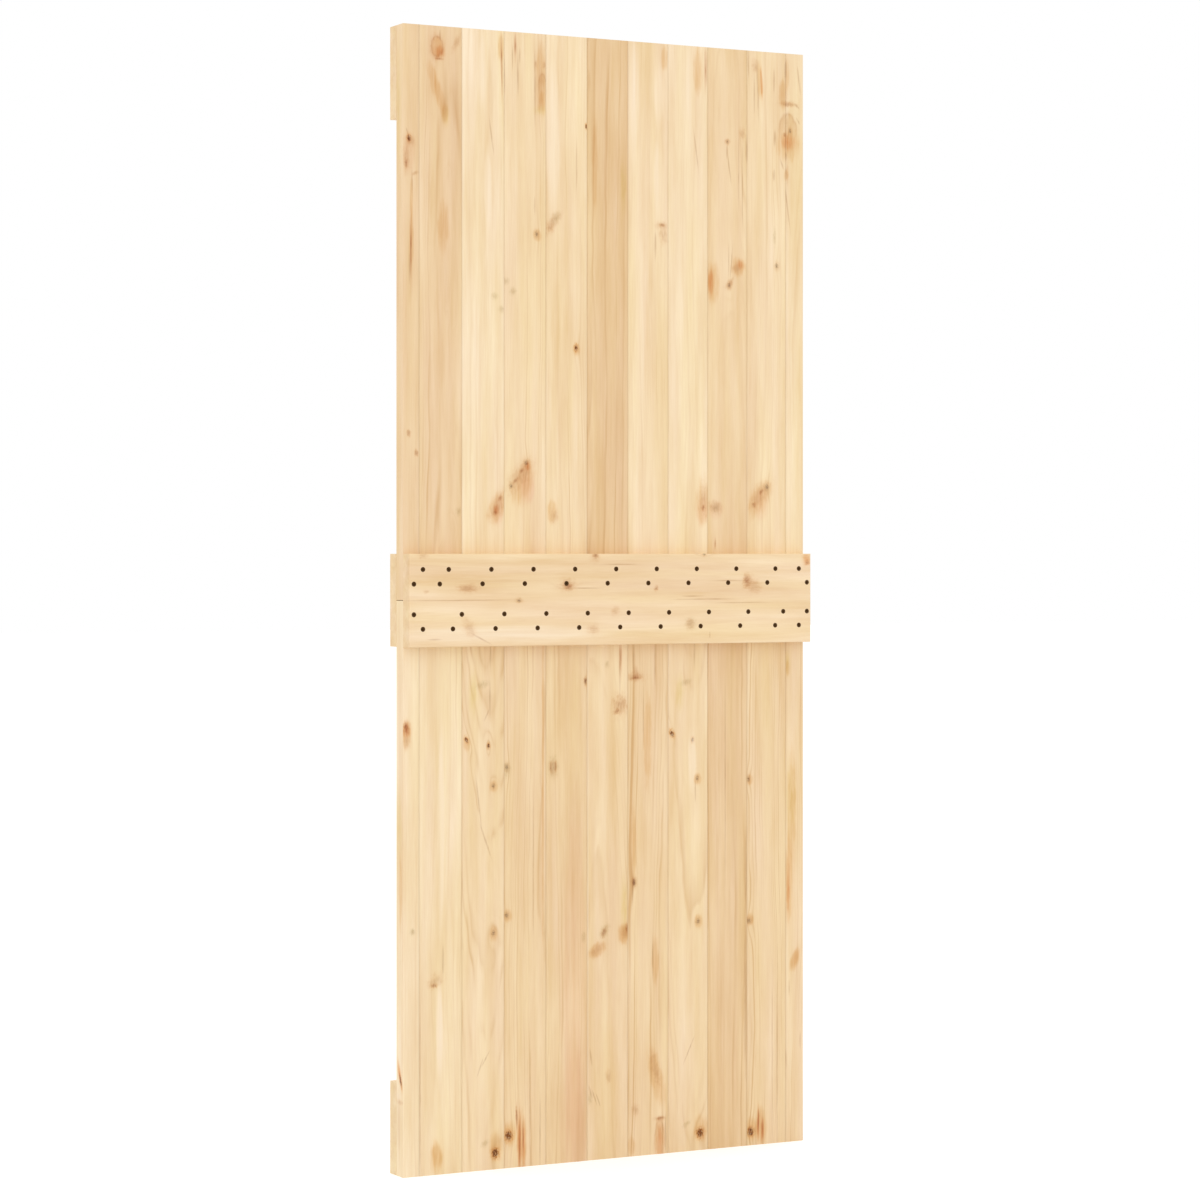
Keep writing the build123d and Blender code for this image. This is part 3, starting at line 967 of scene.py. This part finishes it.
# %% Dress the rails
BACK_RAIL_MARKS = [
    ("shade", 0, 42, 420, 44), ("pale_band_and_highlight", -232, -62, 190, 16), ("soft", -391, 16, 5, 3),
    ("soft", -306, 22, 20, 8), ("soft", -312, 21, 12, 5), ("line", -315, 0, 103, 1.2),
    ("pin_knot", -203, -1, 4.5, 3.5), ("soft", -103, 27, 17, 11), ("brown", -101, 24, 9, 6),
    ("pin_knot", -105, 28, 5, 4), ("line", -66, 21, 30, 1.2), ("soft", -44, 79, 9, 9),
    ("brown", -44, 82, 5, 4), ("soft", -398, 82, 9, 5), ("soft", -305, -50, 10, 17, 30),
    ("line", -280, -71, 20, 1.5, -27), ("soft", -48, -55, 11, 9), ("line", -375, -71, 13, 1.5),
    ("line", 7, 65, 37, 1.2), ("soft", -2, -22, 8, 7), ("brown", 85, 20, 4, 5),
    ("brown", 282, 35, 7, 11), ("soft", 286, 32, 12, 12), ("soft", 300, 22, 15, 11),
    ("pin_knot", 189, 84, 4, 3), ("grey", 160, -47, 10, 10), ("soft", 158, -48, 8, 9),
    ("line", 201, -69, 1.5, 5), ("line", 240, 34, 28, 1.2), ("line", 161, 5, 22, 1.2),
    ("line", 193, -1, 54, 1.2), ("line", 274, -8, 46, 1.2),
    ("flame", 415, 74, 9, 11), ("brown", 417, 68, 5, 5),
]


def lay(marks):
    """Marks seen on a lying rail, as marks across and along its grain."""
    laid = []
    for kind, along, up, half_length, half_height, *tilt in marks:
        laid.append((kind, -up, along, half_height, half_length, *tilt))
    return laid


def dress_rail(name, tone, marks=()):
    """The material of one rail, with its grain lying along X."""
    low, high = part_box(name)
    cut = dict(
        Pith=(picker.uniform(-30, 30), picker.uniform(70, 100), 0),
        Ring=picker.uniform(5.0, 7.0),
        Taper=0.02,
        Lines=0.35,
        Seed=tuple(picker.uniform(0, 900) for _ in range(3)),
    )
    dress(name, pine_material(f"pine_{name}", (low + high) / 2, tone, cut, lay(marks), lying=True))


dress_rail("back_middle_rail", "rail", BACK_RAIL_MARKS)
FRONT_RAIL_TONES = {"front_top_rail": "rail", "front_middle_rail": "rail", "front_bottom_rail": "pale"}
for name, tone in FRONT_RAIL_TONES.items():
    dress_rail(name, tone)
print("rails dressed:", 1 + len(FRONT_RAIL_TONES), "with marks on the back one:", len(BACK_RAIL_MARKS))

# %% [markdown]
# ## Screws
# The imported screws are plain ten-sided pins, one solid each. The real ones are countersunk
# wood screws with a cross recess and a coarse thread. One screw is made here in full on its
# own axis, then set at every packed screw's place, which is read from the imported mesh. It
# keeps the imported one's length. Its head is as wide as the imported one's flat sides, which
# lie nearer than the corners that the box spans, so it fits the same seat.

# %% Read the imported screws
def packed_screws(name):
    """The box of each packed screw, worked out from the node's separate solids."""
    bm = bmesh.new()
    bm.from_mesh(nodes[name].data)
    bm.transform(nodes[name].matrix_world)
    bmesh.ops.remove_doubles(bm, verts=bm.verts, dist=0.001 * MM)
    boxes = []
    unseen = set(bm.verts)
    while unseen:
        island, edge = [], [unseen.pop()]
        while edge:
            vert = edge.pop()
            island.append(vert.co.copy())
            linked = {e.other_vert(vert) for e in vert.link_edges} & unseen
            unseen -= linked
            edge.extend(linked)
        xs, ys, zs = zip(*island)
        boxes.append((Vector((min(xs), min(ys), min(zs))), Vector((max(xs), max(ys), max(zs)))))
    bm.free()

    # A set of vertices has no order of its own, so the screws are put from left to right.
    boxes.sort(key=lambda box: box[0].x)
    return boxes


screw_boxes = {panel: packed_screws(f"{panel}_panel_screws") for panel in PANELS}
first_low, first_high = screw_boxes["upper"][0]
PACKED_SIDES = 10
HEAD_RADIUS = (first_high.x - first_low.x) / 2 * math.cos(math.pi / PACKED_SIDES)
SCREW_LENGTH = first_high.y - first_low.y
print("screws found:", {panel: len(boxes) for panel, boxes in screw_boxes.items()})
print("screw length and head, mm:", round(SCREW_LENGTH / MM, 2), round(2 * HEAD_RADIUS / MM, 2))

# %% The cross recess
RECESS_WIDTH = 1.3 * MM
RECESS_SPAN = 5.4 * MM
RECESS_DEPTH = 2.4 * MM
RECESS_TAPER = 0.45


def cut_recess(bm):
    """Cut a cross into the head's top and push it in, narrowing as it goes."""
    for half in (RECESS_WIDTH / 2, RECESS_SPAN / 2):
        for side in (Vector((1, 0, 0)), Vector((0, 0, 1))):
            for place in (side * half, -side * half):
                everything = bm.verts[:] + bm.edges[:] + bm.faces[:]
                bmesh.ops.bisect_plane(bm, geom=everything, plane_co=place, plane_no=side)
    cross = []
    for face in bm.faces:
        middle = face.calc_center_median()
        near, far = sorted((abs(middle.x), abs(middle.z)))
        if near < RECESS_WIDTH / 2 and far < RECESS_SPAN / 2:
            cross.append(face)
    made = bmesh.ops.extrude_face_region(bm, geom=cross)["geom"]
    bmesh.ops.delete(bm, geom=cross, context="FACES_KEEP_BOUNDARY")
    floor_verts = [part for part in made if isinstance(part, bmesh.types.BMVert)]
    bmesh.ops.scale(bm, vec=(RECESS_TAPER, 1, RECESS_TAPER), verts=floor_verts)
    bmesh.ops.translate(bm, vec=(0, RECESS_DEPTH, 0), verts=floor_verts)


# %% The body, with its head at the origin and its point along +Y
HEAD_RIM = 0.4 * MM
SHANK_RADIUS = 1.9 * MM
CORE_RADIUS = 1.6 * MM
THREAD_START = 34 * MM
POINT_LENGTH = 6 * MM
POINT_RADIUS = CORE_RADIUS / 100


def draw_body(bm, rim_edges):
    """Draw the head's rim down its cone, shank and core to the point."""
    cone_end = HEAD_RIM + HEAD_RADIUS - SHANK_RADIUS
    profile = [
        (HEAD_RADIUS, 0.0),
        (HEAD_RADIUS, HEAD_RIM),
        (SHANK_RADIUS, cone_end),
        (SHANK_RADIUS, THREAD_START),
        (CORE_RADIUS, THREAD_START + MM),
        (CORE_RADIUS, SCREW_LENGTH - POINT_LENGTH),
        (POINT_RADIUS, SCREW_LENGTH),
    ]
    edges = rim_edges
    for (radius, along), (next_radius, next_along) in zip(profile, profile[1:]):
        made = bmesh.ops.extrude_edge_only(bm, edges=edges)["geom"]
        verts = [part for part in made if isinstance(part, bmesh.types.BMVert)]
        edges = [part for part in made if isinstance(part, bmesh.types.BMEdge)]
        share = next_radius / radius
        bmesh.ops.scale(bm, vec=(share, 1, share), verts=verts)
        bmesh.ops.translate(bm, vec=(0, next_along - along, 0), verts=verts)
    bmesh.ops.pointmerge(bm, verts=verts, merge_co=(0, SCREW_LENGTH, 0))


# %% The thread
THREAD_RADIUS = 2.4 * MM
THREAD_PITCH = 3.0 * MM
THREAD_WIDTH = 1.1 * MM
THREAD_STEPS = 12
THREAD_FADE = 4 * MM
THREAD_ROOT = 0.95
THREAD_END = 0.05


def core_at(along):
    """The radius of the screw's core at a distance from the head's top."""
    return CORE_RADIUS * min(1.0, (SCREW_LENGTH - along) / POINT_LENGTH)


def wind_thread(bm):
    """Wind a ridge round the core, fading out at both ends."""
    start = THREAD_START + MM
    turns = (SCREW_LENGTH - MM - start) / THREAD_PITCH
    steps = round(turns * THREAD_STEPS)
    corners = ((0.0, -THREAD_WIDTH / 2), (1.0, 0.0), (0.0, THREAD_WIDTH / 2))
    ridge = [bm.verts.new((1.0 + height, start + along, 0)) for height, along in corners]
    face = bm.faces.new(ridge)
    before = set(bm.verts) - set(ridge)
    bmesh.ops.spin(bm, geom=[face, *face.edges, *ridge], axis=(0, 1, 0), cent=(0, 0, 0),
                   dvec=(0, turns * THREAD_PITCH / steps, 0), angle=turns * math.tau, steps=steps)
    for vert in set(bm.verts) - before:
        height = math.hypot(vert.co.x, vert.co.z) - 1.0
        room = min(vert.co.y - start, SCREW_LENGTH - vert.co.y) / THREAD_FADE
        root = core_at(vert.co.y) * THREAD_ROOT
        ridge_height = height * (THREAD_RADIUS - CORE_RADIUS) * max(THREAD_END, min(1.0, room))
        share = (root + ridge_height) / (1.0 + height)
        vert.co.x *= share
        vert.co.z *= share


# %% One whole screw
HEAD_SEGMENTS = 32


def make_screw():
    """One whole screw as a mesh."""
    bm = bmesh.new()
    flat = Matrix.Rotation(math.pi / 2, 4, "X")
    bmesh.ops.create_circle(bm, cap_ends=True, segments=HEAD_SEGMENTS, radius=HEAD_RADIUS, matrix=flat)
    cut_recess(bm)
    draw_body(bm, [edge for edge in bm.edges if edge.is_boundary])
    wind_thread(bm)
    bmesh.ops.recalc_face_normals(bm, faces=bm.faces)
    open_edges = sum(1 for edge in bm.edges if not edge.is_manifold)
    mesh = bpy.data.meshes.new("screw")
    bm.to_mesh(mesh)
    bm.free()
    print("screw faces:", len(mesh.polygons), "open edges:", open_edges)
    return mesh


screw_mesh = make_screw()

# %% [markdown]
# ## The screws' finish
# Such screws are phosphated and oiled, a dull black that shows brown where it is worn.
# Plain black would read as a hole in the wood. So noise with flecks under a millimetre
# wide mixes two browns, and makes the worn spots a little rougher.

# %% Black screw finish
FLECKS_PER_METRE = (1500, 1500, 1500)
OILED_BLACK = (58, 36, 12)
WORN_BROWN = (98, 68, 34)
OILED_ROUGHNESS = 0.4
WORN_ROUGHNESS = 0.3
BLACK_SHEEN = 0.15


def black_material():
    """Black phosphate on steel, dull and gone brown with its oil."""
    material = bpy.data.materials.new("black_phosphate")
    material.use_nodes = True
    tree = material.node_tree
    metal = tree.nodes["Principled BSDF"]
    place = node(tree, "ShaderNodeTexCoord").outputs["Object"]
    worn = noise(tree, vector_calc(tree, "MULTIPLY", place, FLECKS_PER_METRE), detail=2.0).outputs[0]
    colour = blend_colour(tree, worn, to_linear(*OILED_BLACK), to_linear(*WORN_BROWN))
    feed(tree, metal.inputs["Base Color"], colour)
    rough = calc(tree, "MULTIPLY_ADD", worn, WORN_ROUGHNESS, OILED_ROUGHNESS)
    feed(tree, metal.inputs["Roughness"], rough)
    feed(tree, metal.inputs["Specular IOR Level"], BLACK_SHEEN)
    return material


black = black_material()
print("finish of the screws:", black.name)

# %% Set the screws
SHARP_EDGE = math.radians(35)


def set_screws(panel, material):
    """Every screw of one panel as one piece, each with its cross at a turn of its own."""
    bm = bmesh.new()
    for low, high in screw_boxes[panel]:
        start = len(bm.verts)
        bm.from_mesh(screw_mesh)
        bm.verts.ensure_lookup_table()
        verts = bm.verts[start:]
        turn = Matrix.Rotation(picker.uniform(0, math.tau), 3, "Y")
        bmesh.ops.rotate(bm, verts=verts, cent=(0, 0, 0), matrix=turn)
        bmesh.ops.translate(bm, verts=verts, vec=((low.x + high.x) / 2, low.y, (low.z + high.z) / 2))
    for face in bm.faces:
        face.smooth = True
    mesh = bpy.data.meshes.new(f"{panel}_screws")
    bm.to_mesh(mesh)
    bm.free()
    mesh.set_sharp_from_angle(angle=SHARP_EDGE)
    mesh.materials.append(material)
    piece = bpy.data.objects.new(f"{panel}_screws", mesh)
    bpy.context.scene.collection.objects.link(piece)
    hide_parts(f"{panel}_panel_screws")
    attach(piece, "root")
    return len(mesh.polygons)


print("faces of all screws:", {panel: set_screws(panel, black) for panel in PANELS})

# %% [markdown]
# ## Light and floor
# The leaf stands in a bright white studio. A closed studio with lamps would work, but an
# even white sky is simpler and leaves no hard shadow. A weak, soft sun from the upper left
# makes the edges of the rails readable. The camera is shown the sky at full white and no
# brighter, and the floor glows a little for the camera alone, so that both stay white.

# %% Sky and sun
SKY_LIGHT = 1.06
SUN_LIGHT = 0.25
SUN_SOFTNESS = math.radians(50)
SUN_RISE = math.radians(20)
SUN_SIDE = math.radians(-42)


def seen_directly(tree):
    """1 for rays of the camera, of gloss and of glass, or else 0."""
    path = node(tree, "ShaderNodeLightPath").outputs
    seen = calc(tree, "MAXIMUM", path["Is Camera Ray"], path["Is Glossy Ray"])
    return calc(tree, "MAXIMUM", seen, path["Is Transmission Ray"])


def light_world():
    """An even white sky, seen as white."""
    world = bpy.data.worlds.new("studio")
    bpy.context.scene.world = world
    world.use_nodes = True
    tree = world.node_tree
    background = tree.nodes["Background"]
    background.inputs["Color"].default_value = (1, 1, 1, 1)
    strength = calc(tree, "MULTIPLY_ADD", seen_directly(tree), 1 - SKY_LIGHT, SKY_LIGHT)
    feed(tree, background.inputs["Strength"], strength)


def add_sun():
    """A soft key light from the camera's upper left."""
    data = bpy.data.lights.new("sun", "SUN")
    data.energy = SUN_LIGHT
    data.angle = SUN_SOFTNESS
    sun = bpy.data.objects.new("sun", data)
    bpy.context.scene.collection.objects.link(sun)
    sun.rotation_euler = (math.pi / 2 - SUN_RISE, 0, SUN_SIDE)


light_world()
add_sun()
print("sky and sun:", SKY_LIGHT, SUN_LIGHT)

# %% Floor
FLOOR_REACH = 40.0
FLOOR_WHITE = (0.85, 0.85, 0.85, 1)
FLOOR_GLOW = 0.32


def add_floor():
    """A pale floor under the leaf."""
    bm = bmesh.new()
    place = Matrix.Translation((0, 0, leaf_foot))
    bmesh.ops.create_grid(bm, x_segments=1, y_segments=1, size=FLOOR_REACH, matrix=place)
    mesh = bpy.data.meshes.new("floor")
    bm.to_mesh(mesh)
    bm.free()
    floor = bpy.data.objects.new("floor", mesh)
    bpy.context.scene.collection.objects.link(floor)
    material = bpy.data.materials.new("pale_floor")
    material.use_nodes = True
    tree = material.node_tree
    tree.nodes.clear()
    matt = node(tree, "ShaderNodeBsdfDiffuse", {"Color": FLOOR_WHITE})
    glow = calc(tree, "MULTIPLY", seen_directly(tree), FLOOR_GLOW)
    lit = node(tree, "ShaderNodeEmission", {"Strength": glow})
    both = node(tree, "ShaderNodeAddShader", {0: matt.outputs[0], 1: lit.outputs[0]})
    node(tree, "ShaderNodeOutputMaterial", {"Surface": both.outputs[0]})
    mesh.materials.append(material)


add_floor()
bpy.context.scene.view_settings.view_transform = "Standard"
print("floor height, metres:", round(leaf_foot, 4))
